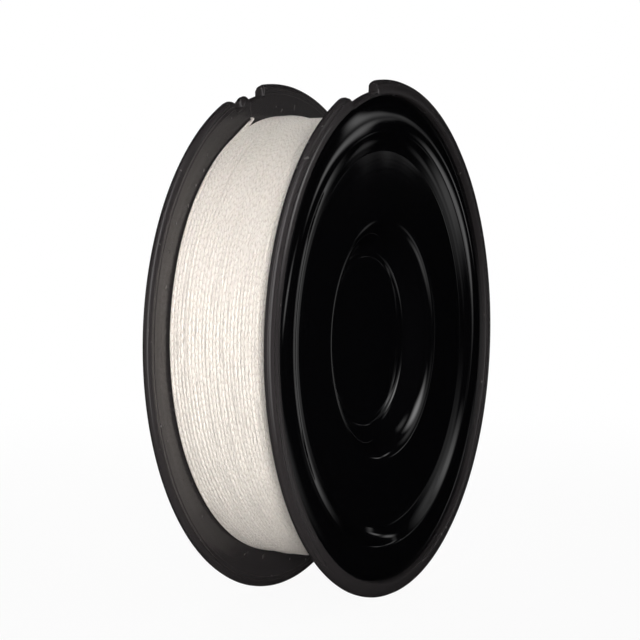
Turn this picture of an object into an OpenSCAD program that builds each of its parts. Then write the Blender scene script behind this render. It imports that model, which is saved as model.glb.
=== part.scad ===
// String reel: two moulded flanges on a hub barrel, glossy formed face caps,
// and a full winding of white braided string whose end is caught in a slit.
// The axle line is Y, the front face looks towards -Y, and the origin is the reel's centre.
// Profiles are drawn as [radius, height], where height is the distance from the middle
// plane outwards along the axle, so one profile serves both sides.

/* [Reel] */
// Diameter over the rims
reel_d = 100; // [94:1:130]
// Width over the two rim crowns
reel_w = 26.8; // [24:0.2:40]

/* [Rim] */
// Radial width of the rim
rim_band = 2.95; // [2.6:0.05:4.5]
// How far the crown stands above the cap's face
crown_rise = 1.1; // [0.9:0.05:2.5]
// Radial width of the flat land on the crown
land_w = 1.0; // [0.5:0.05:1.4]
// Chamfer between the crown and the rim's inner wall
crown_chamfer = 0.3; // [0.1:0.05:0.5]
// Height of the stepped round outside the crown
round_h = 1.0; // [0.5:0.05:1.1]
// Number of fine ridges round the rim's outer corner
ridges = 3; // [2:1:5]
// Depth of the grooves between those ridges
ridge_dip = 0.08; // [0.02:0.01:0.15]
// Width of the bead on the winding side
bead_w = 1.1; // [1:0.05:1.3]
// Height of the bead on the winding side
bead_rise = 0.15; // [0.05:0.05:0.4]
// Round of the rim's corner above that bead
bead_round = 0.9; // [0.3:0.05:1]
// Distance from the bead to the line ring beside it
line_gap = 0.5; // [0.3:0.05:0.7]
// Width of the line ring beside the bead
line_w = 0.35; // [0.2:0.05:0.5]
// Height of the line ring beside the bead
line_rise = 0.08; // [0.04:0.02:0.14]

/* [Flange plate] */
// Thickness of the moulded plate
plate_t = 0.6; // [0.4:0.05:1.2]
// Ledge of plate between the cap's cup and the plate's opening
opening_gap = 1.0; // [0.5:0.1:1.4]

/* [Face cap] */
// Thickness of the formed cap
cap_t = 0.3; // [0.2:0.05:0.6]
// Clearance between the cap's edge and the rim
cap_edge_gap = 0.1; // [0.05:0.05:0.3]
// Width of the raised ring face inside the rim
face_band = 6.7; // [5.5:0.1:8]
// How far that ring face is crowned
face_crown = 0.15; // [0:0.05:0.3]
// Round along the top of that crown
crown_round = 30; // [10:1:40]
// Width of the slope from the ring face down to the dish
slope_w = 3.8; // [3:0.1:5]
// Depth of the dish below the ring face
dish_depth = 1.1; // [0.6:0.05:1.6]
// Round of the shoulder above the slope
shoulder_round = 3.0; // [1:0.1:4]
// Round of the foot below the slope
foot_round = 2.4; // [1:0.1:3.5]
// Radius at which the dish would meet the cup's wall
lip_r = 20.8; // [20.6:0.1:24]
// Round of the lip where the dish turns down into the cup
lip_round = 7.0; // [3:0.1:8]
// Depth of the cup below the dish
cup_depth = 4.3; // [3.9:0.1:5.2]
// Slope of the cup's wall, in degrees
cup_slope = 55; // [50:1:58]
// Round where the cup's wall meets its floor
floor_round = 2.0; // [1:0.1:3]

/* [Label] */
// Distance from the edge of the bare round label to the round of the cup's floor
label_gap = 0.75; // [0.25:0.05:6]
// Thickness of that label
label_t = 0.12; // [0.08:0.02:0.3]

/* [Hub] */
// Distance from the dish's foot in to the barrel's outer wall
hub_inset = 2.6; // [1.6:0.1:3.5]
// Wall of the hub barrel
hub_wall = 1.6; // [1.2:0.1:2.4]
// Wall of the flange's spigot inside the barrel
spigot_wall = 1.2; // [0.8:0.1:1.5]
// Length of the spigot
spigot_len = 4; // [3:0.1:5]
// Radial clearance between spigot and barrel
spigot_gap = 0.1; // [0.05:0.05:0.2]
// Radius of the snap bead on the spigot
snap_r = 0.3; // [0.15:0.05:0.4]
// Number of keys that stop the flanges turning on the barrel
keys = 4; // [2:1:8]
// Width of a key
key_w = 4; // [2:0.1:6]
// Length of a key along the axle
key_len = 1.5; // [1:0.1:2.5]
// Clearance round each key
key_gap = 0.15; // [0.1:0.05:0.3]
// Height of the stiffening web inside the barrel
web_h = 2.2; // [1:0.1:4]
// Thickness of that web
web_t = 1.2; // [0.8:0.1:2]

/* [Rim notch] */
// Angle of the string notch, counted from +X up towards +Z
notch_at = 106.2; // [60:0.1:120]
// Length of the notch floor along the rim
notch_len = 10.5; // [8:0.1:12]
// Depth of the middle of the notch
notch_depth = 2.2; // [1.8:0.05:2.3]
// How much deeper the notch is at its left end than at its right end
floor_fall = 0.5; // [0:0.05:0.6]
// Height of the rounding on the notch's left end
left_rise = 1.65; // [0.6:0.05:1.8]
// Length of the rounding on the notch's left end
left_ramp = 3; // [1:0.1:3.5]
// Height of the rounding on the notch's right end
right_rise = 0.75; // [0.3:0.05:1.2]
// Length of the rounding on the notch's right end
right_ramp = 2; // [1:0.1:4]

/* [String slit] */
// Distance of the slit from the middle of the notch, towards the left end
slit_offset = 0.4; // [0:0.05:1]
// Width of the slit
slit_w = 0.4; // [0.3:0.05:0.6]
// Distance from the notch floor to the middle of the eye that holds the string
slit_len = 3.35; // [3:0.05:4]
// Clearance round the string in that eye
eye_gap = 0.12; // [0.05:0.01:0.25]
// Height of the moulded finger beside the slit
finger_rise = 1.3; // [0.5:0.05:1.4]
// Distance from the slit to the finger's top
finger_lead = 1.1; // [0.8:0.05:1.4]
// Distance from the finger's top to its foot
finger_half = 1.95; // [1.5:0.05:2.2]

/* [String] */
// Diameter of the string
string_d = 0.7; // [0.4:0.05:0.9]
// Depth from the winding up to the rim
free_depth = 7; // [5.6:0.1:10]
// Number of turns drawn in the outer layer
turns = 24; // [12:1:24]
// Diameter of those turns, thinner than the string so that they stand apart
turn_d = 0.56; // [0.4:0.02:0.58]
// Distance from the plate to the middle of the first and last turn
turn_margin = 0.54; // [0.5:0.02:1]
// Clearance between the winding and the flanges and barrel
winding_gap = 0.1; // [0.05:0.05:0.2]
// Clearance between the outer layer's last turn and the end's free stretch
tail_gap = 0.45; // [0.42:0.01:1]
// How far the cut end stays below the back rim's crown
cut_gap = 0.15; // [0.1:0.05:0.4]
// Radius of the stopper knot inside the barrel
knot_r = 1.1; // [0.9:0.05:1.4]

/* [Hidden] */

$fn = 96;
arc_steps = 8;          // straight steps in each round of a profile
eps = 0.02;             // overlap of a cut past the face that it opens
rim_plastic = [0.15, 0.15, 0.16];
cap_plastic = [0.02, 0.02, 0.03];
hub_plastic = [0.11, 0.11, 0.12];
string_white = [0.95, 0.92, 0.88];

reel_r = reel_d / 2;
crown_h = reel_w / 2;
face_h = crown_h - crown_rise;
dish_h = face_h - dish_depth;
floor_h = dish_h - cup_depth;
seat_h = face_h - cap_t;
plate_in_h = seat_h - plate_t;
dish_in_h = dish_h - cap_t - plate_t;
rim_in_r = reel_r - rim_band;
land_in_r = rim_in_r + crown_chamfer;
land_out_r = land_in_r + land_w;
shoulder_r = rim_in_r - face_band;
foot_r = shoulder_r - slope_w;
floor_r = lip_r - cup_depth / tan(cup_slope);
label_r = floor_r - floor_round * tan(cup_slope / 2) - label_gap;
lip_start_r = lip_r + lip_round * tan(cup_slope / 2);
opening_r = lip_start_r + opening_gap;
hub_r = foot_r - hub_inset;
hub_in_r = hub_r - hub_wall;
spigot_r = hub_in_r - spigot_gap;
snap_h = dish_in_h - spigot_len + 2 * snap_r;
pack_r = reel_r - free_depth;
turn_r = pack_r - turn_d / 2;
rings_per_turn = 24;
ring_sides = 6;
// the drawn turns are 24-sided, so the core lies inside the middle of their straight runs
core_r = turn_r * cos(180 / rings_per_turn) - turn_d / 2;
notch_r = reel_r - notch_depth;
notch_half = arc_angle(notch_len / 2, notch_r);
slit_at = notch_at + arc_angle(slit_offset, notch_r);
finger_at = slit_at + arc_angle(finger_lead, notch_r);
eye_r = notch_r - slit_len;
eye_size = string_d / 2 + eye_gap;
tail_h = plate_in_h - winding_gap - string_d / 2;
// the end leaves the core along the tangent that meets the slit's eye
lift_r = core_r + string_d / 2 + winding_gap;
lift_at = slit_at + acos(lift_r / eye_r);
take_off_at = lift_at + arc_angle(tail_gap + turn_d / 2, turn_r);
hole_r = string_d / 2 + eye_gap;
hole_at = 250;

// ---- helpers ----

function arc_angle(length, radius) = length / radius * 180 / PI;
function unit(v) = v / norm(v);
function reversed(list) = [for (i = [len(list) - 1 : -1 : 0]) list[i]];
function polar(r, a) = [r * cos(a), r * sin(a)];

// points of a round of radius r at corner b between a and c
function corner(a, b, c, r) =
    let (to_a = unit(a - b), to_c = unit(c - b),
         half = acos(to_a * to_c) / 2,
         middle = b + unit(to_a + to_c) * r / sin(half),
         from = b + to_a * r / tan(half) - middle,
         till = b + to_c * r / tan(half) - middle,
         sweep = 180 - 2 * half)
    [for (i = [0 : arc_steps])
        let (s = i / arc_steps)
        middle + (from * sin((1 - s) * sweep) + till * sin(s * sweep)) / sin(sweep)];

// a profile through [radius, height, round] corners
function rounded(points) =
    [for (i = [0 : len(points) - 1])
        let (p = points[i], here = [p[0], p[1]])
        each i == 0 || i == len(points) - 1 || p[2] == 0 ? [here]
            : corner([points[i - 1][0], points[i - 1][1]], here,
                     [points[i + 1][0], points[i + 1][1]], p[2])];

// the same profile, moved towards the middle plane by a thickness
function below(path, t) =
    [for (i = [0 : len(path) - 1])
        let (a = path[max(i - 1, 0)], b = path[min(i + 1, len(path) - 1)], along = unit(b - a))
        path[i] + t * [-along[1], along[0]]];

// outer surface of a face, from the rim in to the middle of the cup
face_path = rounded([
    [rim_in_r, face_h, 0],
    [rim_in_r - face_band / 2, face_h + face_crown, crown_round],
    [shoulder_r, face_h, shoulder_round],
    [foot_r, dish_h, foot_round],
    [lip_r, dish_h, lip_round],
    [floor_r, floor_h, floor_round],
    [0, floor_h, 0]]);

// moves a piece drawn along +Z on to the axle line, facing the front or the back
module to_front() rotate([90, 0, 0]) children();
module to_back() mirror([0, 1, 0]) to_front() children();

module revolve(points) rotate_extrude() polygon(points);

// ---- flanges ----

function rim_corner() =
    [for (i = [0 : 2 * ridges])
        let (a = 90 * i / (2 * ridges), dip = i % 2 == 1 ? ridge_dip : 0)
        [land_out_r + (reel_r - land_out_r - dip) * cos(a),
         crown_h - round_h + (round_h - dip) * sin(a)]];

function bead_corner() =
    [for (i = [0 : arc_steps])
        let (a = 90 * i / arc_steps)
        [reel_r - bead_round * (1 - sin(a)),
         plate_in_h - bead_rise + bead_round * (1 - cos(a))]];

function rim_profile() = concat(
    [[rim_in_r, crown_h - crown_chamfer], [land_in_r, crown_h]],
    reversed(rim_corner()),
    reversed(bead_corner()),
    [for (step = [[bead_w, -bead_rise], [bead_w + bead_rise, 0],
                  [bead_w + line_gap, 0], [bead_w + line_gap + line_rise, -line_rise],
                  [bead_w + line_gap + line_w, -line_rise],
                  [bead_w + line_gap + line_w + line_rise, 0]])
        [reel_r - step[0], plate_in_h + step[1]]]);

function plate_side(depth) = concat(
    [for (p = below(face_path, depth)) if (p[0] > lip_start_r + opening_gap) [min(p[0], rim_in_r), p[1]]],
    [[opening_r, dish_h - depth]]);

module flange_blank() {
    revolve(concat(rim_profile(), plate_side(cap_t + plate_t), reversed(plate_side(cap_t))));
    difference() {
        translate([0, 0, dish_in_h - spigot_len])
            cylinder(r = spigot_r, h = spigot_len + eps);
        translate([0, 0, dish_in_h - spigot_len - eps])
            cylinder(r = spigot_r - spigot_wall, h = spigot_len + 3 * eps);
    }
    // snap bead that holds the flange in the barrel's groove
    translate([0, 0, snap_h]) rotate_extrude() translate([spigot_r - snap_r / 2, 0])
        circle(r = snap_r, $fn = 24);
    for (i = [0 : keys - 1]) rotate([0, 0, notch_at + i * 360 / keys]) key(0, spigot_wall / 2);
}

// a key, or with clearance the slot that takes it
module key(gap, root)
    translate([hub_in_r - root, -key_w / 2 - gap, dish_in_h - key_len - gap])
        cube([root + hub_wall - key_gap + 2 * gap, key_w + 2 * gap, key_len + gap + eps]);

// outline of a rounded rim end at the notch
function ramp(edge_at, rise, length) =
    [for (i = [0 : 6])
        let (t = 15 * i)
        polar(reel_r - rise + rise * sin(t),
              edge_at + arc_angle(length * (1 - cos(t)), reel_r))];

// a point of the notch floor, with a rise above it
function floor_point(at, rise = 0) =
    polar(notch_r + floor_fall * (notch_at - at) / (2 * notch_half) + rise, at);

// the air in the notch; its floor's points run from the right end to the left end
module notch_air(floor_points) {
    left_at = notch_at + notch_half;
    right_at = notch_at - notch_half;
    translate([0, 0, plate_in_h - 1]) linear_extrude(crown_h - plate_in_h + 2)
        polygon(concat(
            ramp(left_at, left_rise, left_ramp),
            [polar(reel_r + 2, left_at + arc_angle(left_ramp, reel_r)),
             polar(reel_r + 2, right_at - arc_angle(right_ramp, reel_r))],
            reversed(ramp(right_at, right_rise, -right_ramp)),
            floor_points));
}

function plain_floor(from, till, parts) =
    [for (i = [0 : parts]) floor_point(from + (till - from) * i / parts)];

function finger_floor() =
    let (first = -asin(finger_lead / finger_half), foot_at = finger_at + arc_angle(finger_half, notch_r))
    concat(
        plain_floor(notch_at - notch_half, slit_at, 4),
        [for (i = [0 : arc_steps])
            let (t = first + (90 - first) * i / arc_steps)
            floor_point(finger_at + arc_angle(finger_half * sin(t), notch_r), finger_rise * cos(t))],
        plain_floor(foot_at, notch_at + notch_half, 2));

module string_slit(width, eye) {
    rotate([0, 0, slit_at]) translate([0, 0, plate_in_h - 1]) {
        translate([eye_r, -width / 2, 0])
            cube([reel_r - eye_r, width, crown_h - plate_in_h + 2]);
        translate([eye_r, 0, 0]) cylinder(r = eye, h = crown_h - plate_in_h + 2, $fn = 24);
    }
}

module front_flange()
    color(rim_plastic) to_front() difference() {
        flange_blank();
        notch_air(plain_floor(notch_at - notch_half, notch_at + notch_half, 8));
    }

module back_flange()
    color(rim_plastic) to_back() difference() {
        flange_blank();
        notch_air(finger_floor());
        string_slit(slit_w, eye_size);
    }

// ---- face caps and label ----

module cap_blank()
    revolve(concat(
        [for (p = face_path) [min(p[0], rim_in_r - cap_edge_gap), p[1]]],
        reversed([for (p = below(face_path, cap_t)) [min(p[0], rim_in_r - cap_edge_gap), p[1]]])));

module front_face_cap() color(cap_plastic) to_front() cap_blank();

module back_face_cap()
    color(cap_plastic) to_back() difference() {
        cap_blank();
        string_slit(slit_w, eye_size);
    }

module front_label()
    color(cap_plastic) to_front() translate([0, 0, floor_h]) cylinder(r = label_r, h = label_t);

// ---- hub ----

module hub_barrel()
    color(hub_plastic) to_front() difference() {
        union() {
            barrel_tube();
            difference() {
                translate([0, 0, -web_t / 2]) cylinder(r = hub_in_r + eps, h = web_t);
                translate([0, 0, -web_t]) cylinder(r = hub_in_r - web_h, h = 2 * web_t);
            }
        }
        for (side = [0, 1]) mirror([0, 0, side]) {
            translate([0, 0, snap_h]) rotate_extrude() translate([hub_in_r, 0])
                circle(r = snap_r + spigot_gap, $fn = 24);
            for (i = [0 : keys - 1]) rotate([0, 0, notch_at + i * 360 / keys])
                key(key_gap, spigot_wall / 2);
        }
        rotate([0, 0, hole_at]) translate([0, 0, web_t + hole_r]) rotate([0, 90, 0])
            cylinder(r = hole_r, h = reel_r, $fn = 24);
    }

module barrel_tube()
    difference() {
        translate([0, 0, -dish_in_h]) cylinder(r = hub_r, h = 2 * dish_in_h);
        translate([0, 0, -dish_in_h - 1]) cylinder(r = hub_in_r, h = 2 * dish_in_h + 2);
    }

// ---- string ----

// half of the winding's section, from the pack's surface down to the barrel
function winding_side() = concat(
    [[core_r, plate_in_h - winding_gap]],
    [for (p = below(face_path, cap_t + plate_t + winding_gap))
        if (p[0] < core_r && p[0] > hub_r + winding_gap) p],
    [[hub_r + winding_gap, dish_in_h - winding_gap]]);

module string_core()
    color(string_white) to_front()
        revolve(concat(winding_side(), [for (p = reversed(winding_side())) [p[0], -p[1]]]));

// the outer layer is one tube that leaves the core square, winds to the back and returns
ring_count = turns * rings_per_turn;
winding_span = 2 * (plate_in_h - turn_margin);
function turn_at(i) = take_off_at - 360 * i / rings_per_turn;
function turn_y(i) = winding_span * (i / ring_count - 0.5);

// one ring of the tube: out and round scale its width along the radius and along the turn
function tube_ring(r, i, out, round) =
    let (a = turn_at(i), outward = [cos(a), 0, sin(a)], onward = [sin(a), 0, -cos(a)])
    [for (k = [0 : ring_sides - 1])
        let (c = turn_d / 2 * cos(360 * k / ring_sides), s = turn_d / 2 * sin(360 * k / ring_sides))
        r * outward + c * (out * outward + round * onward) + [0, turn_y(i) + s, 0]];

tube_rings = concat(
    [tube_ring(core_r, 0, 0, -1), tube_ring(turn_r, 0, 1, -1)],
    [for (i = [1 : ring_count - 1]) tube_ring(turn_r, i, 1, 0)],
    [tube_ring(turn_r, ring_count, 1, 1), tube_ring(core_r, ring_count, 0, 1)]);

function tube_face(i, k) =
    let (a = i * ring_sides + k, b = i * ring_sides + (k + 1) % ring_sides)
    [[a, b, b + ring_sides], [a, b + ring_sides, a + ring_sides]];

module tube(rings) {
    last = (len(rings) - 1) * ring_sides;
    polyhedron(
        points = [for (ring = rings) each ring],
        faces = concat(
            [for (i = [0 : len(rings) - 2]) for (k = [0 : ring_sides - 1]) each tube_face(i, k)],
            [for (k = [1 : ring_sides - 2]) [0, k + 1, k]],
            [for (k = [1 : ring_sides - 2]) [last, last + k, last + k + 1]]),
        convexity = 10);
}

module string_outer_layer() {
    gap = min([for (i = [1 : ring_count - rings_per_turn]) for (p = tube_rings[i])
        for (q = tube_rings[i + rings_per_turn]) norm(p - q)]);
    echo(least_gap_between_turns = gap);
    color(string_white) tube(tube_rings);
}

// the end leaves the pack along a straight line, turns through the eye and is cut off behind
module string_tail() {
    eye = polar(eye_r, slit_at);
    run = polar(lift_r, lift_at) - eye;
    color(string_white) to_back() {
        translate([eye[0], eye[1], tail_h]) {
            sphere(d = string_d, $fn = 24);
            cylinder(d = string_d, h = crown_h - cut_gap - tail_h, $fn = 24);
            rotate([0, 0, atan2(run[1], run[0])]) rotate([0, 90, 0])
                cylinder(d = string_d, h = norm(run), $fn = 24);
        }
    }
}

// the inner end passes through the barrel and is stopped by a knot
module anchor_knot()
    color(string_white) to_front() rotate([0, 0, hole_at]) translate([0, 0, web_t + hole_r]) {
        translate([hub_in_r - knot_r, 0, 0]) sphere(r = knot_r, $fn = 32);
        translate([hub_in_r - 3 * knot_r, 0, 0]) rotate([0, 90, 0])
            cylinder(d = string_d, h = hub_wall + 3 * knot_r, $fn = 24);
    }

front_flange();
back_flange();
hub_barrel();
front_face_cap();
back_face_cap();
front_label();
string_core();
string_outer_layer();
string_tail();
anchor_knot();
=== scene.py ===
import math

import bmesh
import bpy
from mathutils import Matrix, Vector, noise


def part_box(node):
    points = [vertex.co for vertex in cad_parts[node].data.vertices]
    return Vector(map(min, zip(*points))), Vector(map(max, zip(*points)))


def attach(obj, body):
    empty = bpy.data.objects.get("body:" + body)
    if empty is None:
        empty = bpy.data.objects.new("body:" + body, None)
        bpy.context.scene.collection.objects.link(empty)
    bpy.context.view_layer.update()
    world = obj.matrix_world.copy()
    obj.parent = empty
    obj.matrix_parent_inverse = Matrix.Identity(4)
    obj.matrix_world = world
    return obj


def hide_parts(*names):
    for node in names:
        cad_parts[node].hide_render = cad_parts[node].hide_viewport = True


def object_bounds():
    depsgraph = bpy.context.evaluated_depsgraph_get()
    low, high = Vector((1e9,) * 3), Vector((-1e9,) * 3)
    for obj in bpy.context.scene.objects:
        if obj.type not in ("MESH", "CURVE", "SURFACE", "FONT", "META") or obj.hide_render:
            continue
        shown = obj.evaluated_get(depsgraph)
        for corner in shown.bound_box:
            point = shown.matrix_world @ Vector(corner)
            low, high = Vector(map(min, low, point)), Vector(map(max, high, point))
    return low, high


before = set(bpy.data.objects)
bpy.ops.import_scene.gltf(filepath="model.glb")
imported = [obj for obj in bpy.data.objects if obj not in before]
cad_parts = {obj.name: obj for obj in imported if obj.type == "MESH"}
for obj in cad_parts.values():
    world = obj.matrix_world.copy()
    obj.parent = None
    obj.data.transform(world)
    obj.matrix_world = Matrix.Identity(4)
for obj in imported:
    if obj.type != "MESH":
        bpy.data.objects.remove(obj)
cad_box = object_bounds()
bpy.context.scene.view_settings.view_transform = "Standard"

# ---- the reel's sizes in millimetres ----
# A profile is a list of (radius, height) points, and height runs from the middle plane outwards.

MM = 0.001


def reach(node, axis):
    """How far a CAD node reaches along an axis, in millimetres."""
    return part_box(node)[1][axis] / MM


REEL_R, CROWN_H = reach("back_flange", 0), reach("back_flange", 1)
CAP_EDGE_R = reach("back_face_cap", 0)
LABEL_R = reach("front_label", 0)
HUB_R = reach("hub_barrel", 0)
STRING_CUT_H = reach("string_tail", 1)

# The rim: its width, its rise over the cap, and the chamfer, flat land and outer round of its crown
RIM_BAND, CROWN_RISE = 2.95, 1.1
CROWN_CHAMFER, LAND_W, ROUND_H = 0.3, 1.0, 1.0
RIDGES, RIDGE_DIP = 3, 0.08

# The bead and the line ring on the winding side
BEAD_W, BEAD_RISE, BEAD_ROUND = 1.1, 0.15, 0.9
LINE_GAP, LINE_W, LINE_RISE = 0.5, 0.35, 0.08

# The cap's ring face, slope, dish, lip and cup, and the label on the cup's floor
CAP_T, PLATE_T = 0.3, 0.6
FACE_BAND, FACE_CROWN, CROWN_ROUND = 6.7, 0.3, 30
SLOPE_W, SHOULDER_ROUND, FOOT_ROUND = 3.8, 3.0, 2.4
SLOPE_HOLLOW, HOLLOW_ROUND = 0.12, 14
DISH_DEPTH, DISH_FALL = 1.1, 0.3
LIP_R, LIP_ROUND = 20.8, 7.0
CUP_DEPTH, CUP_SLOPE, FLOOR_ROUND = 4.3, math.radians(55), 2.0
LABEL_T = 0.12

# The barrel, and the spigot, snap bead and keys that hold a flange in it
HUB_WALL, WEB_T, OPENING_GAP = 1.6, 1.2, 1.0
SPIGOT_GAP, SPIGOT_WALL, SPIGOT_LEN, SNAP_R = 0.1, 1.2, 4.0, 0.3
KEYS, KEY_W, KEY_LEN, KEY_GAP = 4, 4.0, 1.5, 0.15

# The notch: its place, length, depth and the fall of its floor, and how its two ends rise
NOTCH_AT, NOTCH_LEN, NOTCH_DEPTH, FLOOR_FALL = math.radians(106.2), 10.5, 2.2, 0.5
LEFT_RISE, LEFT_RAMP, RIGHT_RISE, RIGHT_RAMP = 1.65, 3.0, 0.75, 2.0

# The slit with its eye, and the finger beside it
SLIT_OFFSET, SLIT_W, SLIT_LEN = 0.4, 0.4, 3.35
EYE_HOLE_R = 0.28
FINGER_RISE, FINGER_LEAD, FINGER_HALF = 1.3, 1.1, 1.95

# The string, the winding and the knot
STRING_D, STRING_HOLE_GAP, FREE_DEPTH, WINDING_GAP = 0.7, 0.12, 7.0, 0.1
KNOT_R, KNOT_AT = 1.1, math.radians(250)

RIM_IN_R = REEL_R - RIM_BAND
FACE_H = CROWN_H - CROWN_RISE
DISH_H = FACE_H - DISH_DEPTH
CUP_FLOOR_H = DISH_H - CUP_DEPTH
SEAT_H = FACE_H - CAP_T
PLATE_IN_H = SEAT_H - PLATE_T
DISH_IN_H = DISH_H - CAP_T - PLATE_T
SHOULDER_R = RIM_IN_R - FACE_BAND
FOOT_R = SHOULDER_R - SLOPE_W
LIP_START_R = LIP_R + LIP_ROUND * math.tan(CUP_SLOPE / 2)
OPENING_R = LIP_START_R + OPENING_GAP
HUB_IN_R = HUB_R - HUB_WALL
SPIGOT_R = HUB_IN_R - SPIGOT_GAP
PACK_R = REEL_R - FREE_DEPTH
NOTCH_R = REEL_R - NOTCH_DEPTH
NOTCH_HALF = NOTCH_LEN / 2 / NOTCH_R
NOTCH_LEFT, NOTCH_RIGHT = NOTCH_AT + NOTCH_HALF, NOTCH_AT - NOTCH_HALF
SLIT_AT = NOTCH_AT + SLIT_OFFSET / NOTCH_R
FINGER_AT = SLIT_AT + FINGER_LEAD / NOTCH_R
EYE_R = NOTCH_R - SLIT_LEN
STRING_HOLE_R = STRING_D / 2 + STRING_HOLE_GAP

FRONT, BACK = -1, 1


# ---- making pieces ----

def arc(before, at, after, radius, steps):
    """Points of a round of a profile's corner."""
    to_before, to_after = (before - at).normalized(), (after - at).normalized()
    half = to_before.angle(to_after) / 2
    middle = at + (to_before + to_after).normalized() * radius / math.sin(half)
    start = at + to_before * radius / math.tan(half) - middle
    end = at + to_after * radius / math.tan(half) - middle
    sweep = math.pi - 2 * half
    parts = [i / steps for i in range(steps + 1)]
    return [middle + (start * math.sin((1 - s) * sweep) + end * math.sin(s * sweep)) / math.sin(sweep)
            for s in parts]


def rounded(corners, steps):
    """A profile through (radius, height, round) corners."""
    flat = [Vector(corner[:2]) for corner in corners]
    path = []
    for i, corner in enumerate(corners):
        if corner[2]:
            path += arc(flat[i - 1], flat[i], flat[(i + 1) % len(flat)], corner[2], steps)
        else:
            path.append(flat[i])
    return path


def held(path):
    """A profile whose long straight stretches get points near their ends, so that they shade flat."""
    near, long_stretch = 0.1, 0.8
    kept = path[:1]
    for before, after in zip(path, path[1:]):
        way = after - before
        if way.length > long_stretch:
            kept += [before + way.normalized() * near, after - way.normalized() * near]
        kept.append(after)
    return kept


def sunk(path, depth):
    """A profile moved towards the middle plane by a thickness."""
    moved = []
    for i, point in enumerate(path):
        along = (path[min(i + 1, len(path) - 1)] - path[max(i - 1, 0)]).normalized()
        moved.append(point + depth * Vector((-along.y, along.x)))
    return moved


def at_angle(radius, angle, y=0.0):
    """The place at an angle round the axle, counted from +X up towards +Z."""
    return Vector((radius * math.cos(angle), y, radius * math.sin(angle)))


def turned(profile, side, sectors, start=0.0):
    """A closed profile turned round the axle, in sectors of (end angle, steps, doublings).

    A sector's first part is spun in its steps, and each doubling copies it on to twice its angle.
    """
    merge_gap = 1e-4
    whole = bmesh.new()
    for end, steps, doublings in sectors:
        bm = bmesh.new()
        ring = [bm.verts.new(at_angle(point[0], start, side * point[1])) for point in profile]
        edges = [bm.edges.new(pair) for pair in zip(ring, ring[1:] + ring[:1])]
        angle = (end - start) / 2 ** doublings
        bmesh.ops.spin(bm, geom=ring + edges, cent=(0, 0, 0), axis=(0, -1, 0), dvec=(0, 0, 0),
                       angle=angle, steps=steps, use_merge=False)
        for _ in range(doublings):
            again = bmesh.ops.duplicate(bm, geom=bm.verts[:] + bm.edges[:] + bm.faces[:])["geom"]
            bmesh.ops.rotate(bm, cent=(0, 0, 0), matrix=Matrix.Rotation(-angle, 3, "Y"),
                             verts=[v for v in again if isinstance(v, bmesh.types.BMVert)])
            angle *= 2
        part = bpy.data.meshes.new("part")
        bm.to_mesh(part)
        bm.free()
        whole.from_mesh(part)
        bpy.data.meshes.remove(part)
        start = end
    bmesh.ops.remove_doubles(whole, verts=whole.verts, dist=merge_gap)
    bmesh.ops.recalc_face_normals(whole, faces=whole.faces)
    return whole


def in_scene(name, data):
    """A new object that shows a mesh, curve, lamp or camera."""
    made = bpy.data.objects.new(name, data)
    bpy.context.scene.collection.objects.link(made)
    return made


def piece(name, bm, sharp=30):
    """Turns a bmesh drawn in millimetres into an object, shaded smooth up to an angle in degrees."""
    bmesh.ops.scale(bm, vec=(MM, MM, MM), verts=bm.verts)
    mesh = bpy.data.meshes.new(name)
    bm.to_mesh(mesh)
    bm.free()
    mesh.shade_smooth()
    mesh.set_sharp_from_angle(angle=math.radians(sharp))
    return in_scene(name, mesh)


def evaluated(source, name):
    """The mesh that an object shows, as an object of its own; the source is removed."""
    depsgraph = bpy.context.evaluated_depsgraph_get()
    mesh = bpy.data.meshes.new_from_object(source.evaluated_get(depsgraph))
    bpy.data.objects.remove(source)
    mesh.name = name
    return in_scene(name, mesh)


def cut_away(target, *tools):
    """Cuts closed tools out of a piece for good."""
    name = target.name
    for tool in tools:
        cut = target.modifiers.new("cut", "BOOLEAN")
        cut.operation, cut.solver, cut.object = "DIFFERENCE", "MANIFOLD", tool
    target.name = "uncut"
    made = evaluated(target, name)
    for tool in tools:
        bpy.data.objects.remove(tool)
    return made


# ---- face caps and label ----

# The dish falls a little towards the cup, and the slope down to it is a little hollow.
FACE_PATH = held(rounded([
    (RIM_IN_R, FACE_H, 0),
    (RIM_IN_R - FACE_BAND / 2, FACE_H + FACE_CROWN, CROWN_ROUND),
    (SHOULDER_R, FACE_H, SHOULDER_ROUND),
    ((SHOULDER_R + FOOT_R) / 2, (FACE_H + DISH_H + DISH_FALL / 2) / 2 - SLOPE_HOLLOW, HOLLOW_ROUND),
    (FOOT_R, DISH_H + DISH_FALL / 2, FOOT_ROUND),
    (LIP_R, DISH_H - DISH_FALL / 2, LIP_ROUND),
    (LIP_R - CUP_DEPTH / math.tan(CUP_SLOPE), CUP_FLOOR_H, FLOOR_ROUND),
    (0, CUP_FLOOR_H, 0)], steps=16))

WHOLE_TURN = [(2 * math.pi, 9, 5)]     # 9 steps doubled 5 times, or 288 sides
LABEL_EDGE_ROUND = 0.05
TRIM_DEPTH, TRIM_SCALE = 0.06, 1.7     # how deep the cap's trimmed edge wanders, and how often


def string_slit(side):
    """The tools that open the slit and its eye, which squeezes the string."""
    through, past_edge = 5, 1
    middle = side * (PLATE_IN_H + CROWN_H) / 2
    length = REEL_R - EYE_R + past_edge
    slot = bmesh.new()
    bmesh.ops.create_cube(
        slot, size=1,
        matrix=Matrix.Rotation(-SLIT_AT, 4, "Y") @ Matrix.Translation((EYE_R + length / 2, middle, 0))
        @ Matrix.Diagonal((length, through, SLIT_W, 1)))
    eye = bmesh.new()
    bmesh.ops.create_cone(
        eye, cap_ends=True, segments=32, radius1=EYE_HOLE_R, radius2=EYE_HOLE_R, depth=through,
        matrix=Matrix.Translation(at_angle(EYE_R, SLIT_AT, middle))
        @ Matrix.Rotation(math.pi / 2, 4, "X"))
    return piece("slot_tool", slot), piece("eye_tool", eye)


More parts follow.
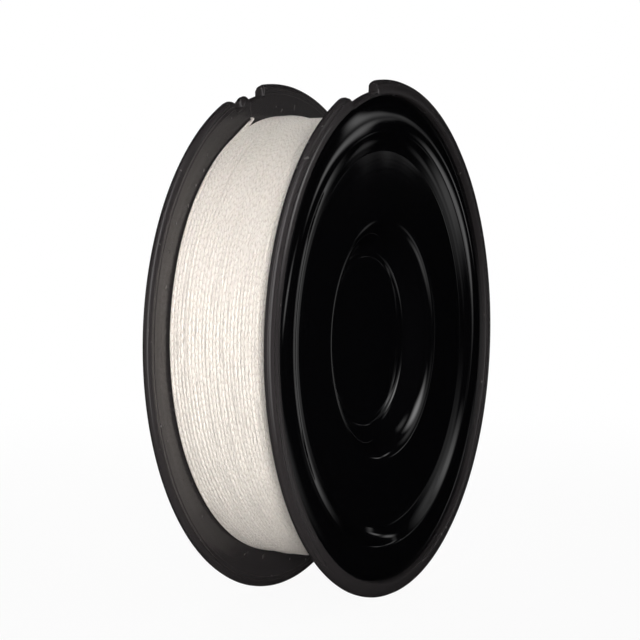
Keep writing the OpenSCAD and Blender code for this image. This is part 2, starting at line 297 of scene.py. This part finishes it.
def face_cap(name, side):
    """The glossy cover: one formed sheet from the rim's inner wall down to the closed cup."""
    sheet = FACE_PATH + sunk(FACE_PATH, CAP_T)[::-1]
    bm = turned([(min(p.x, CAP_EDGE_R), p.y) for p in sheet], side, WHOLE_TURN)
    for vert in bm.verts:
        if math.hypot(vert.co.x, vert.co.z) > CAP_EDGE_R - TRIM_DEPTH:
            wander = noise.noise(Vector((vert.co.x, 0, vert.co.z)) * TRIM_SCALE)
            vert.co.x *= 1 - (1 + wander) * TRIM_DEPTH / 2 / CAP_EDGE_R
            vert.co.z *= 1 - (1 + wander) * TRIM_DEPTH / 2 / CAP_EDGE_R
    return piece(name, bm)


def label():
    """The bare round film on the cup's floor."""
    top = CUP_FLOOR_H + LABEL_T
    edge = rounded([(LABEL_R, CUP_FLOOR_H, 0), (LABEL_R, top, LABEL_EDGE_ROUND),
                    (0, top, 0), (0, CUP_FLOOR_H, 0)], steps=3)
    return piece("bare_label", turned(held(edge), FRONT, WHOLE_TURN))


# ---- flanges ----

CROWN_EDGE_ROUND, BEAD_EDGE_ROUND = 0.15, 0.08
LINE_FOOT_ROUND, LINE_TOP_ROUND = 0.04, 0.03
END_ROUND = 0.5                        # round of the notch's edges
FINGER_ROUND = 1.14                    # the finger is rounded over towards the winding
FINGER_ROUND_FALL = 0.8 * FINGER_ROUND
KEY_ROUND = 0.12


def ridged_corner():
    """The rim's stepped outer corner: fine ridges with hollow grooves between them."""
    steps = 8 * RIDGES
    land_out = RIM_IN_R + CROWN_CHAMFER + LAND_W
    for i in range(steps + 1):
        angle = math.pi / 2 * (1 - i / steps)
        dip = RIDGE_DIP * abs(math.sin(2 * RIDGES * angle))
        yield Vector((land_out + (REEL_R - land_out - dip) * math.cos(angle),
                      CROWN_H - ROUND_H + (ROUND_H - dip) * math.sin(angle)))


def rim_profile():
    """The rim from its seat over the crown and the ridges to the bead and the line ring."""
    chamfer_r = RIM_IN_R + CROWN_CHAMFER
    bead_in = REEL_R - BEAD_W
    bead_h = PLATE_IN_H - BEAD_RISE
    line_out = bead_in - LINE_GAP
    line_in = line_out - LINE_W
    line_h = PLATE_IN_H - LINE_RISE
    wall = rounded([(RIM_IN_R, SEAT_H, 0),
                    (RIM_IN_R, CROWN_H - CROWN_CHAMFER, CROWN_EDGE_ROUND),
                    (chamfer_r, CROWN_H, CROWN_EDGE_ROUND),
                    (chamfer_r + LAND_W, CROWN_H, 0)], steps=3)
    bead = rounded([(REEL_R, CROWN_H - ROUND_H, 0),
                    (REEL_R, bead_h, BEAD_ROUND),
                    (bead_in, bead_h, BEAD_EDGE_ROUND),
                    (bead_in - BEAD_RISE, PLATE_IN_H, BEAD_EDGE_ROUND),
                    (line_out, PLATE_IN_H, LINE_FOOT_ROUND),
                    (line_out - LINE_RISE, line_h, LINE_TOP_ROUND),
                    (line_in, line_h, LINE_TOP_ROUND),
                    (line_in - LINE_RISE, PLATE_IN_H, LINE_FOOT_ROUND),
                    (RIM_IN_R, PLATE_IN_H, 0)], steps=5)
    return wall[:-1] + list(ridged_corner()) + bead[1:-1]


def spigot_profile():
    """The spigot with its snap bead, from the winding face to the plate's opening."""
    end_h = DISH_IN_H - SPIGOT_LEN
    snap_h = end_h + 2 * SNAP_R
    snap = [Vector((SPIGOT_R - SNAP_R / 2 + SNAP_R * math.cos(a), snap_h + SNAP_R * math.sin(a)))
            for a in (math.radians(60 - 15 * i) for i in range(9))]
    return [(SPIGOT_R, DISH_IN_H), *snap, (SPIGOT_R, end_h), (SPIGOT_R - SPIGOT_WALL, end_h),
            (SPIGOT_R - SPIGOT_WALL, DISH_IN_H), (OPENING_R, DISH_IN_H), (OPENING_R, DISH_H - CAP_T)]


def flange_profile():
    """Rim, plate and hub spigot in one closed profile."""
    past_spigot, past_wall, above_seat = 1, 0.2, 1e-6
    winding_face = [p for p in sunk(FACE_PATH, CAP_T + PLATE_T) if p.x > SPIGOT_R + past_spigot]
    seat_face = [p for p in sunk(FACE_PATH, CAP_T) if p.x > OPENING_R]
    profile = []
    for radius, height in rim_profile() + winding_face + spigot_profile() + seat_face[::-1]:
        if height < SEAT_H + above_seat and radius < RIM_IN_R + past_wall:
            radius = min(radius, RIM_IN_R)
        profile.append((radius, height))
    return profile


def rim_end(way, rise, ramp):
    """Radius of a rounded rim end at a distance way from its edge."""
    return REEL_R - rise + rise * math.sqrt(1 - max(1 - way / ramp, 0) ** 2)


def notch_floor(angle, side, height):
    """Radius of the notch's floor; the back one carries the finger, rounded over on the winding side."""
    floor = NOTCH_R + FLOOR_FALL * (NOTCH_AT - angle) / (2 * NOTCH_HALF)
    share = (angle - FINGER_AT) * NOTCH_R / FINGER_HALF
    if side == FRONT or angle < SLIT_AT or share > 1:
        return floor
    to_crown = min((height - PLATE_IN_H + BEAD_RISE) / FINGER_ROUND, 1)
    rounding = FINGER_ROUND_FALL * (1 - math.sqrt(1 - (1 - to_crown) ** 2))
    return max(floor, floor - rounding + FINGER_RISE * math.sqrt(1 - share ** 2))


def set_back(height, edge_round):
    """How far the rounding of a notch edge holds it back at a height in the rim's thickness."""
    to_face = max(min(CROWN_H - height, height - (PLATE_IN_H - BEAD_RISE), edge_round), 0)
    return edge_round - math.sqrt(edge_round ** 2 - (edge_round - to_face) ** 2)


def rim_limit(angle, side, height):
    """How far the rim reaches at an angle and height: the notch with its rounded ends."""
    back = set_back(height, END_ROUND)
    past_right = (NOTCH_RIGHT - angle) * REEL_R - back
    past_left = (angle - NOTCH_LEFT) * REEL_R - back
    if past_right > 0:
        return rim_end(past_right, RIGHT_RISE, RIGHT_RAMP)
    if past_left > 0:
        return rim_end(past_left, LEFT_RISE, LEFT_RAMP)
    return notch_floor(angle, side, height)


def notched_flange(name, side):
    """A moulded flange, with its rim cut down to the notch's outline."""
    past_ramp, root_depth = 0.5, 0.1
    start = NOTCH_RIGHT - (RIGHT_RAMP + past_ramp) / REEL_R
    end = NOTCH_LEFT + (LEFT_RAMP + past_ramp) / REEL_R
    notch_sector, rest = (end, 22, 3), (start + 2 * math.pi, 15, 4)
    bm = turned(flange_profile(), side, [notch_sector, rest], start)
    root = RIM_IN_R - root_depth
    for vert in bm.verts:
        radius = math.hypot(vert.co.x, vert.co.z)
        angle = math.atan2(vert.co.z, vert.co.x)
        if radius > root and start < angle < end:
            limit = rim_limit(angle, side, abs(vert.co.y))
            lowered = root + (radius - root) * (limit - root) / (REEL_R - root)
            vert.co.x *= lowered / radius
            vert.co.z *= lowered / radius
    add_keys(bm, side)
    return piece(name, bm)


def add_keys(bm, side):
    """Blocks beside the spigot that stop the flange turning on the barrel."""
    length = SPIGOT_WALL / 2 + HUB_WALL - KEY_GAP
    radius, height = HUB_IN_R - SPIGOT_WALL / 2 + length / 2, side * (DISH_IN_H - KEY_LEN / 2)
    for i in range(KEYS):
        made = bmesh.ops.create_cube(
            bm, size=1, matrix=Matrix.Rotation(-NOTCH_AT - i * 2 * math.pi / KEYS, 4, "Y")
            @ Matrix.Translation((radius, height, 0))
            @ Matrix.Diagonal((length, KEY_LEN, KEY_W, 1)))["verts"]
        bmesh.ops.bevel(bm, geom=list({e for v in made for e in v.link_edges}), offset=KEY_ROUND,
                        segments=2, profile=0.5, affect="EDGES", material=-1, clamp_overlap=True)


# ---- string ----

TURNS, RINGS = 31, 180
LAID_THICK, LAID_WIDE = 0.6, 0.77      # string flattened by its neighbours
SIDE_GAP = 0.02
WINDING_HALF = PLATE_IN_H - LAID_WIDE / 2 - SIDE_GAP
PITCH = 2 * WINDING_HALF / TURNS
LAYER_STEP = 0.87 * STRING_D           # a layer nests between the turns beneath it
SCALLOP = 0.3

# The winding is laid a little over its pack, and fuller near the back flange, most at one angle.
LAID_OVER, FULLER_FROM, FULLER_TO = 0.05, 5, 8.5
FULLER_ALL_ROUND, FULLER_ONE_SIDE, FULLEST_AT = 0.1, 0.6, math.radians(130)

# How far a turn drifts sideways, slowly and quickly, and outwards
WANDER, JITTER, RIDE = 0.2, 0.05, 0.14
DRIFT_CIRCLE, QUIET_EDGE = 1.4, 1.5    # circle on which the noise is read, and the edge where it fades


def smooth_step(value, low, high):
    """A value's smooth share of the way from low to high."""
    share = min(max((value - low) / (high - low), 0), 1)
    return share * share * (3 - 2 * share)


def pack_radius(y, angle):
    """The winding's outer radius at a place along the axle and an angle round it."""
    fuller = smooth_step(y, FULLER_FROM, FULLER_TO)
    fuller_by = FULLER_ALL_ROUND + FULLER_ONE_SIDE * math.cos(angle - FULLEST_AT)
    return PACK_R + LAID_OVER + fuller * fuller_by


def string_piece(name, path, radius=STRING_D / 2, narrowing=None):
    """String along a path in millimetres: a round tube whose UV map runs along and round it."""
    curve = bpy.data.curves.new(name, "CURVE")
    curve.dimensions, curve.twist_mode = "3D", "MINIMUM"
    curve.bevel_depth, curve.bevel_resolution, curve.use_fill_caps = radius * MM, 4, True
    spline = curve.splines.new("POLY")
    spline.points.add(len(path) - 1)
    for i, (point, place) in enumerate(zip(spline.points, path)):
        point.co = (*(place * MM), 1)
        point.radius = narrowing[i] if narrowing else 1
    made = evaluated(in_scene("drawn", curve), name)
    made.data.shade_smooth()
    made["string_length"] = sum((b - a).length for a, b in zip(path, path[1:]))
    return made


def flatten(string, path):
    """Presses a wound string flat, so that its turns close up against each other."""
    verts = string.data.vertices
    sides = len(verts) // len(path)
    for i, vert in enumerate(verts):
        # the end caps' points follow those of all the rings, and belong to one of the path's ends
        near = path[min(i // sides, len(path) - 1)], path[0], path[-1]
        middle = min((place * MM for place in near), key=lambda place: (place - vert.co).length)
        outward = Vector((middle.x, 0, middle.z)).normalized()
        offset = vert.co - middle
        vert.co -= outward * offset.dot(outward) * (1 - LAID_THICK / STRING_D)
        vert.co.y += offset.y * (LAID_WIDE / STRING_D - 1)


def drift(angle, turn, round_scale, turn_scale, shift=0):
    """Smooth noise that changes round the reel and from turn to turn, and closes on itself."""
    spot = at_angle(DRIFT_CIRCLE, angle)
    return noise.noise(Vector((spot.x * round_scale + shift, turn * turn_scale, spot.z * round_scale)))


def outer_turns():
    """The outermost layer: one string from the front flange to the back, whose turns wander a little."""
    path = []
    for i in range(TURNS * RINGS + 1):
        turn = i / RINGS
        angle = END_LIFT_AT + 2 * math.pi * (TURNS - turn)
        y = PITCH * turn - WINDING_HALF
        wander = drift(angle, turn, 1, 0.14)
        jitter = drift(angle, turn, 2, 1.7, shift=3)
        ride = drift(angle, turn, 1.2, 0.9, shift=7)
        inside = min(1, (WINDING_HALF - abs(y)) / QUIET_EDGE)
        y += inside * (WANDER * wander + JITTER * jitter)
        path.append(at_angle(pack_radius(y, angle) - LAID_THICK / 2 + RIDE * ride, angle, y))
    laid = string_piece("outer_turns", path)
    flatten(laid, path)
    return laid


END_Y = PLATE_IN_H - WINDING_GAP - STRING_D / 2
END_LIFT_R = pack_radius(END_Y, SLIT_AT) - STRING_D / 2
END_LIFT_AT = SLIT_AT + math.acos(END_LIFT_R / EYE_R)


def string_end():
    """The end leaves the last turn, is squeezed into the slit's eye and is cut off behind it."""
    bend, squeezed, full_width_at, squeezed_at = 0.45, 0.62, 2.2, 0.4
    lead_points, lead_step, free_points = 8, 0.02, 10
    lift, eye = at_angle(END_LIFT_R, END_LIFT_AT, END_Y), at_angle(EYE_R, SLIT_AT, END_Y)
    before = [at_angle(END_LIFT_R, END_LIFT_AT + lead_step * (lead_points - i), END_Y)
              for i in range(lead_points)]
    straight = [lift.lerp(eye, i / free_points) for i in range(free_points)]
    toward = (eye - lift).normalized()
    round_eye = [eye + toward * bend * (math.sin(a) - 1) + Vector((0, bend * (1 - math.cos(a)), 0))
                 for a in (math.radians(15 * i) for i in range(7))]
    behind = [Vector((eye.x, END_Y + bend + s * (STRING_CUT_H - END_Y - bend), eye.z))
              for s in (0.25, 0.5, 0.75, 1)]
    path = before + straight + round_eye + behind
    to_eye = [(eye - place).length for place in path[:-len(behind)]] + [0] * len(behind)
    widths = [squeezed + (1 - squeezed) * smooth_step(way, squeezed_at, full_width_at) for way in to_eye]
    return string_piece("string_end", path, narrowing=widths)


def inner_layers():
    """The layers beneath: a full pack whose surface is scalloped by its turns."""
    steps, past_hub, under_top, sharp = 6, 0.2, 1.2, 60
    bumps = []
    for i in range(TURNS):
        for part in range(steps):
            swing = math.pi * (part / steps)
            y = WINDING_HALF - PITCH * i - PITCH / 2 * (1 - math.cos(swing))
            bumps.append((PACK_R - LAYER_STEP - SCALLOP + SCALLOP * math.sin(swing), y))
    side = [p for p in sunk(FACE_PATH, CAP_T + PLATE_T + WINDING_GAP)
            if HUB_R + past_hub < p.x < PACK_R - under_top]
    half = [(HUB_R + WINDING_GAP, DISH_IN_H - WINDING_GAP)] + [(p.x, p.y) for p in side[::-1]]
    profile = half + bumps + [(p[0], -p[1]) for p in half[::-1]]
    return piece("inner_layers", turned(profile, BACK, [(2 * math.pi, 6, 5)]), sharp)


def stopper_knot():
    """An overhand knot inside the barrel, and the straight length that it stops."""
    bulge, steps, open_steps = 1.2, 48, 2
    middle = at_angle(HUB_IN_R - KNOT_R, KNOT_AT, -(WEB_T + STRING_HOLE_R))
    out, up = at_angle(1, KNOT_AT), Vector((0, 1, 0))
    across = out.cross(up)
    size = (KNOT_R - STRING_D / 4) / 3
    loop = [middle + size * ((math.sin(t) + 2 * math.sin(2 * t)) * across
                             + (math.cos(t) - 2 * math.cos(2 * t)) * up - bulge * math.sin(3 * t) * out)
            for t in (2 * math.pi * i / steps for i in range(open_steps, steps - 1))]
    straight = [middle + out * (HUB_WALL + KNOT_R) * s for s in (0.75, 1)]
    return string_piece("stopper_knot", loop + straight, STRING_D / 4)


front_flange = notched_flange("front_rim_and_plate", FRONT)
back_flange = cut_away(notched_flange("back_rim_and_plate", BACK), *string_slit(BACK))
front_cap = face_cap("front_cover", FRONT)
back_cap = cut_away(face_cap("back_cover", BACK), *string_slit(BACK))
bare_label = label()
turns, end, layers, knot = outer_turns(), string_end(), inner_layers(), stopper_knot()

for made, node, slot in (
        (front_flange, "front_flange", "rim_plastic"),
        (back_flange, "back_flange", "rim_plastic"),
        (front_cap, "front_face_cap", "cap_film"),
        (back_cap, "back_face_cap", "cap_film"),
        (bare_label, "front_label", "label_film"),
        (turns, "string_outer_layer", "string"),
        (end, "string_tail", "string"),
        (layers, "string_core", "string"),
        (knot, "anchor_knot", "string")):
    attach(made, "root")
    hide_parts(node)


# ---- finishes ----

class Wire:
    """A node's output, with arithmetic that adds Math nodes."""

    def __init__(self, finish, socket):
        self.finish, self.socket = finish, socket

    def math(self, operation, *values):
        """A Math node; all its values are given, this output too where it is one of them."""
        return self.finish.add("ShaderNodeMath", {"operation": operation}, dict(enumerate(values)))

    def __add__(self, other):
        return self.math("ADD", self, other)

    def __sub__(self, other):
        return self.math("SUBTRACT", self, other)

    def __rsub__(self, other):
        return self.math("SUBTRACT", other, self)

    def __mul__(self, other):
        return self.math("MULTIPLY", self, other)

    def __truediv__(self, other):
        return self.math("DIVIDE", self, other)

    __radd__, __rmul__ = __add__, __mul__


class Nodes:
    """A node tree to which nodes are added line by line."""

    def __init__(self, tree):
        self.tree = tree

    def add(self, kind, settings=None, values=None, out=0):
        """Adds a node: first its settings, then its sockets' values or links; gives one output."""
        node = self.tree.nodes.new(kind)
        for key, value in (settings or {}).items():
            setattr(node, key, value)
        for key, value in (values or {}).items():
            if isinstance(value, Wire):
                self.tree.links.new(value.socket, node.inputs[key])
            else:
                node.inputs[key].default_value = value
        return Wire(self, node.outputs[out])

    def feed(self, wire, node, key):
        """Links an output to a socket of a node that the tree already has."""
        self.tree.links.new(wire.socket, self.tree.nodes[node].inputs[key])

    def place(self):
        """The point on the piece, in metres in the reel's own frame."""
        return self.add("ShaderNodeTexCoord", out="Object")

    def vector(self, operation, *values, out=0):
        """A Vector Math node; its number, such as a length, is output 1."""
        return self.add("ShaderNodeVectorMath", {"operation": operation}, dict(enumerate(values)), out)

    def parts(self, vector, names):
        """The named numbers of a vector, among its X, Y and Z."""
        return [self.add("ShaderNodeSeparateXYZ", None, {0: vector}, out=name) for name in names]

    def span(self, value, low, high):
        """A value's smooth share of the way from low to high."""
        return self.add("ShaderNodeMapRange", {"interpolation_type": "SMOOTHSTEP"},
                        {"Value": value, "From Min": low, "From Max": high})


class Finish(Nodes):
    """A material of one Principled shader, with constants set on its sockets."""

    def __init__(self, name, **constants):
        self.material = bpy.data.materials.new(name)
        self.material.use_nodes = True
        super().__init__(self.material.node_tree)
        self.shader = self.tree.nodes["Principled BSDF"]
        for key, value in constants.items():
            self.shader.inputs[key.replace("_", " ").title().replace("Ior", "IOR")].default_value = value

    def drive(self, **wires):
        """Links outputs to the shader's sockets."""
        for key, wire in wires.items():
            self.tree.links.new(wire.socket, self.shader.inputs[key.replace("_", " ")])

    def radius(self):
        """Distance from the axle, in millimetres."""
        return self.vector("LENGTH", self.vector("MULTIPLY", self.place(), (1, 0, 1)), out=1) / MM

    def grain(self, scale, detail=2, where=None):
        """Noise of that many features to a millimetre, from 0 to 1."""
        return self.add("ShaderNodeTexNoise", {"noise_dimensions": "3D"},
                        {"Vector": where or self.place(), "Scale": scale / MM, "Detail": detail})

    def ring_marks(self, scale):
        """Marks that run round the axle, from 0 to 1."""
        return self.add("ShaderNodeTexNoise", {"noise_dimensions": "1D"},
                        {"W": self.radius(), "Scale": scale, "Detail": 3})

    def blend(self, share, low, high):
        """A colour between two, by a share."""
        low, high = ((*colour, 1) if isinstance(colour, tuple) else colour for colour in (low, high))
        return self.add("ShaderNodeMix", {"data_type": "RGBA"}, {0: share, 6: low, 7: high}, out=2)

    def relief(self, height, depth):
        """A normal from a height of 0 to 1 that stands for a depth in millimetres."""
        return self.add("ShaderNodeBump", None,
                        {"Height": height, "Distance": depth * MM, "Strength": 1.0})


RIM_COLOUR, HUB_COLOUR, DUST = (0.023, 0.021, 0.022), (0.02, 0.02, 0.02), (0.16, 0.15, 0.14)
RIM_ROUGH, HUB_ROUGH = 0.2, 0.45
FILM_DEEP, FILM_MARKED = (0.0012, 0.0012, 0.0014), (0.0024, 0.0024, 0.003)
# The first colour in each of the next two lines is painted shade, for the hollows between strands and
# between turns
STRAND_PAINTED_SHADE, STRAND_WARM, STRAND_PALE = (0.64, 0.585, 0.53), (0.83, 0.785, 0.73), (0.92, 0.885, 0.835)
LAYER_PAINTED_SHADE, LAYER_TOP, LAYER_SHADE = (0.36, 0.32, 0.29), (0.76, 0.71, 0.65), 0.35
STRAND_STEP, STRANDS = 1.5, 3    # distance between strands along the string, and strands each way round


def moulded_black(name, colour, roughness):
    """Satin moulded plastic: a fine grain, slow changes of sheen and a few pale specks of dust."""
    finish = Finish(name, specular_ior_level=0.5)
    dust = finish.span(finish.grain(0.9, detail=0), 0.79, 0.85)
    sheen = finish.grain(0.06, detail=3)
    lighter = tuple(1.25 * part for part in colour)
    shade = finish.blend(sheen, colour, lighter)
    finish.drive(Base_Color=finish.blend(dust * 0.25, shade, DUST),
                 Roughness=roughness - 0.05 + 0.1 * sheen + 0.1 * dust,
                 Normal=finish.relief(finish.grain(3.5), depth=0.006))
    return finish.material


def gloss_black(name):
    """Glossy formed film: deep black, with faint marks round the axle and slow waves."""
    finish = Finish(name, specular_ior_level=0.5)
    marks = finish.ring_marks(1.6)
    finish.drive(Base_Color=finish.blend(marks, FILM_DEEP, FILM_MARKED),
                 Roughness=0.025 + 0.02 * marks,
                 Normal=finish.relief(0.02 * marks + finish.grain(0.05, detail=1), depth=0.04))
    return finish.material


def braid(name, length):
    """Braided string: strands that cross over and under, with painted shade in the hollows between them.
    """
    dip = 0.45
    finish = Finish(name, roughness=0.5, sheen_weight=0.1, sheen_roughness=0.4)
    along, around = finish.parts(finish.add("ShaderNodeUVMap", {"uv_map": "UVMap"}), "XY")
    # the braid's phase differs from turn to turn, and its strands are a little uneven
    each_turn = finish.vector("MULTIPLY", finish.place(), (0.1, 1.6, 0.1))
    phase = 5 * finish.grain(1, detail=1, where=each_turn)
    along = along * (length / STRAND_STEP) + phase + 0.4 * finish.grain(1.2, detail=1)
    around = around * STRANDS + 0.8 * finish.grain(0.5, detail=1)
    left, right = along + around, along - around
    # each strand is crowned, and dips where the other one crosses over it
    across = [way.math("FRACT", way) * 2 - 1 for way in (left, right)]
    crowns = [1 - way * way for way in across]
    cell = left.math("FLOOR", left) + right.math("FLOOR", right)
    left_over = (cell * 0.5).math("FRACT", cell * 0.5) * 2
    height = (left_over * crowns[0] * (1 - dip + dip * crowns[1])
              + (1 - left_over) * crowns[1] * (1 - dip + dip * crowns[0]))
    fibre = finish.grain(7)
    # painted shade: the braid's low places between the strands take a darker colour
    clear_of_painted_shade = finish.span(height + 0.25 * fibre, 0.05, 0.75)
    crown_colour = finish.blend(finish.grain(0.9), STRAND_WARM, STRAND_PALE)
    finish.drive(Base_Color=finish.blend(clear_of_painted_shade, STRAND_PAINTED_SHADE, crown_colour),
                 Normal=finish.relief(height + 0.15 * fibre, depth=0.14))
    return finish.material


def laid_white(name):
    """The string beneath the outer layer, with painted shade towards the hollows between its turns."""
    finish = Finish(name, roughness=0.7)
    fibre = finish.grain(3, detail=3)
    clear_of_painted_shade = finish.span(finish.radius(), PACK_R - LAYER_STEP - LAYER_SHADE, PACK_R - LAYER_STEP)
    # painted shade: darker towards the hollows between the turns, by the distance from the axle
    finish.drive(Base_Color=finish.blend(clear_of_painted_shade * fibre, LAYER_PAINTED_SHADE, LAYER_TOP),
                 Normal=finish.relief(fibre, depth=0.08))
    return finish.material


def dress(obj, material):
    """Gives an object its one material."""
    obj.data.materials.clear()
    obj.data.materials.append(material)


rim_black = moulded_black("rim_plastic", RIM_COLOUR, RIM_ROUGH)
for flange in (front_flange, back_flange):
    dress(flange, rim_black)
cover_black = gloss_black("cap_film")
for cover in (front_cap, back_cap):
    dress(cover, cover_black)
dress(bare_label, gloss_black("label_film"))
for strand in (turns, end, knot):
    dress(strand, braid(strand.name + "_braid", strand["string_length"]))
dress(layers, laid_white("inner_string"))
hub_black = moulded_black("hub_plastic", HUB_COLOUR, HUB_ROUGH)
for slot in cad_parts["hub_barrel"].material_slots:
    slot.material = hub_black


# ---- camera ----

CAMERA_AT = Vector((-0.32688, -0.16475, 0.02174))
AIM_LEFT, AIM_UP = 2.844 * MM, 3.333 * MM
FOCAL_LENGTH, RENDER_W, SENSOR_W = 1857.04, 640, 36    # the first two in pixels
NEAREST_SEEN = 0.01


def look_at(obj, place, target):
    """Puts a lamp or camera at a place, turned towards a target."""
    obj.location = place
    obj.rotation_euler = (target - place).to_track_quat("-Z", "Y").to_euler()


camera = in_scene("camera", bpy.data.cameras.new("camera"))
forward = -CAMERA_AT.normalized()
right = forward.cross(Vector((0, 0, 1))).normalized()
look_at(camera, CAMERA_AT, -AIM_LEFT * right + AIM_UP * right.cross(forward))
camera.data.sensor_width = SENSOR_W
camera.data.lens = FOCAL_LENGTH * SENSOR_W / RENDER_W
camera.data.clip_start = NEAREST_SEEN
bpy.context.scene.camera = camera


# ---- floor, room and lamps ----

WHITE = (1, 1, 1, 1)
FLOOR_Z, FLOOR_R, FLOOR_GREY = cad_box[0][2], 3, (0.85, 0.85, 0.85, 1)
ROOM_LIGHT = 0.28


def round_reel(azimuth, elevation, distance):
    """A place round the reel: azimuth from its front towards +X, in degrees."""
    az, el = math.radians(azimuth), math.radians(elevation)
    return distance * Vector((math.sin(az) * math.cos(el), -math.cos(az) * math.cos(el), math.sin(el)))


def softbox(name, azimuth, elevation, distance, size, spread, watts, tint=(1, 1, 1), aim=(0, 0, 0)):
    """A square lamp whose grid holds its light to a spread in degrees; its aim is in millimetres."""
    lamp = bpy.data.lights.new(name, "AREA")
    lamp.shape, lamp.size, lamp.spread = "SQUARE", size, math.radians(spread)
    lamp.energy, lamp.color = watts, tint
    made = in_scene(name, lamp)
    look_at(made, round_reel(azimuth, elevation, distance), Vector(aim) * MM)
    made.visible_glossy = False


def shown_white(nodes):
    """How much of what a ray sees here is plain white: all of it for the camera, mirrors and glass."""
    camera_ray, glossy_ray, glass_ray = (nodes.add("ShaderNodeLightPath", out=kind) for kind in
                                         ("Is Camera Ray", "Is Glossy Ray", "Is Transmission Ray"))
    return camera_ray.math("MAXIMUM", camera_ray, glossy_ray.math("MAXIMUM", glossy_ray, glass_ray))


def stage_piece(name, bm, material):
    """Part of the stage, from a bmesh drawn in metres."""
    mesh = bpy.data.meshes.new(name)
    bm.to_mesh(mesh)
    bm.free()
    made = in_scene(name, mesh)
    dress(made, material)
    return made


def glowing(finish, share, strength):
    """Mixes plain white light into a stage material."""
    glow = finish.add("ShaderNodeEmission", None, {"Color": WHITE, "Strength": strength})
    surface = Wire(finish, finish.shader.outputs[0])
    mixed = finish.add("ShaderNodeMixShader", None, {0: share, 1: surface, 2: glow})
    finish.feed(mixed, "Material Output", "Surface")
    return finish.material


def pale_floor():
    """A round floor under the reel, a little less white near it."""
    near_white, shade_from, shade_to = 0.94, 0.1, 0.4
    bm = bmesh.new()
    bmesh.ops.create_circle(bm, cap_ends=True, segments=64, radius=FLOOR_R,
                            matrix=Matrix.Translation((0, 0, FLOOR_Z)))
    finish = Finish("floor", base_color=FLOOR_GREY, roughness=0.9)
    far = finish.vector("LENGTH", finish.place(), out=1)
    whiteness = near_white + (1 - near_white) * finish.span(far, shade_from, shade_to)
    floor = stage_piece("floor", bm, glowing(finish, shown_white(finish) * whiteness, 1.0))
    floor.visible_glossy = False


def room():
    """A pale room: plain white to the camera, mirrors and glass, and soft grey light on the reel."""
    world = bpy.data.worlds.new("room")
    bpy.context.scene.world = world
    world.use_nodes = True
    nodes = Nodes(world.node_tree)
    nodes.feed(ROOM_LIGHT + (1 - ROOM_LIGHT) * shown_white(nodes), "Background", "Strength")
    nodes.tree.nodes["Background"].inputs["Color"].default_value = WHITE


# Soft glowing panels let into the drape, painted reflections that only mirrors see: azimuth, elevation,
# width, height, turn in degrees, and brightness
PANELS = [
    (63.3, 4.2, 3.8, 1.2, 133, 0.75),        # ring face, at the upper left
    (66.3, 0.4, 2.7, 0.9, 131, 0.75),
    (60.0, -2.0, 4.0, 0.9, 22, 0.85),        # and at the right
    (50, -8.2, 13, 3.6, 168, 0.35),          # slope and lip, at the right
    (43, -13, 12, 7, 165, 0.6),
    (73, -7, 5, 2.6, 0, 0.15),               # slope and lip, at the left
    (103, -3.8, 32, 5, 0, 0.5),
    (114, -3.8, 16, 12, 0, 1.0),
    (36, 13, 14, 12, 0, 3.0),                # lip and slope, at the lower right
    (48, 5, 11, 9, 0, 0.4),
    (39, 31, 12, 8, 0, 0.5),
    (-78, 22, 26, 105, 0, 2.2),              # ridges of the rims, at the left
]
BRIGHTEST, PANEL_SOFTNESS = 3.0, 0.8

# The drape's radius in metres, and the share of it behind the reel where the cloth folds
DRAPE_R, FOLD_AT = 25, 0.5


def panel_light(finish, toward, azimuth, elevation, width, height, turn, brightness):
    """Light of one soft panel in a direction."""
    outward = round_reel(azimuth, elevation, 1)
    level = outward.cross(Vector((0, 0, 1))).normalized()
    across = Matrix.Rotation(math.radians(turn), 3, outward) @ level
    ahead, sideways, upward = (finish.vector("DOT_PRODUCT", toward, way, out=1)
                               for way in (outward, across, across.cross(outward)))
    light = brightness * ahead.math("GREATER_THAN", ahead, 0)
    for off, size in ((sideways, width), (upward, height)):
        half = math.tan(math.radians(size / 2))
        soft = PANEL_SOFTNESS * half
        light = light * (1 - finish.span(off.math("ABSOLUTE", off / ahead), half - soft, half + soft))
    return light


def black_drape():
    """A black drape that only mirrors see: its soft glowing panels are painted reflections, and the rest
    paints the gloss deep black.

    Behind the reel the drape repeats the painted panels that stand beside it, so that the back shows
    painted highlights too.
    """
    bm = bmesh.new()
    bmesh.ops.create_uvsphere(bm, u_segments=48, v_segments=24, radius=DRAPE_R)
    finish = Finish("black_drape", base_color=(0, 0, 0, 1), roughness=1.0, specular_ior_level=0.0)
    x, y, z = (part / DRAPE_R for part in finish.parts(finish.place(), "XYZ"))
    folded_y = FOLD_AT - y.math("ABSOLUTE", y - FOLD_AT)
    folded = finish.add("ShaderNodeCombineXYZ", None, {0: x, 1: folded_y, 2: z})
    toward = finish.vector("NORMALIZE", folded)
    light = sum((panel_light(finish, toward, *panel) for panel in PANELS[1:]),
                panel_light(finish, toward, *PANELS[0]))
    # the panels glow only for mirrors: painted reflections, not lamps
    drape = stage_piece("black_drape", bm, glowing(finish, light / BRIGHTEST, BRIGHTEST))
    drape.visible_camera = drape.visible_diffuse = drape.visible_shadow = False
    drape.visible_transmission = False


pale_floor()
room()
black_drape()
softbox("key", -60, 7, 0.5, 0.12, 22, 0.068, tint=(1, 0.965, 0.935), aim=(-43, 6, 1))
softbox("top", -30, 72, 1.2, 0.8, 180, 1.5)
softbox("far_side", 110, 15, 1.2, 0.8, 180, 8)
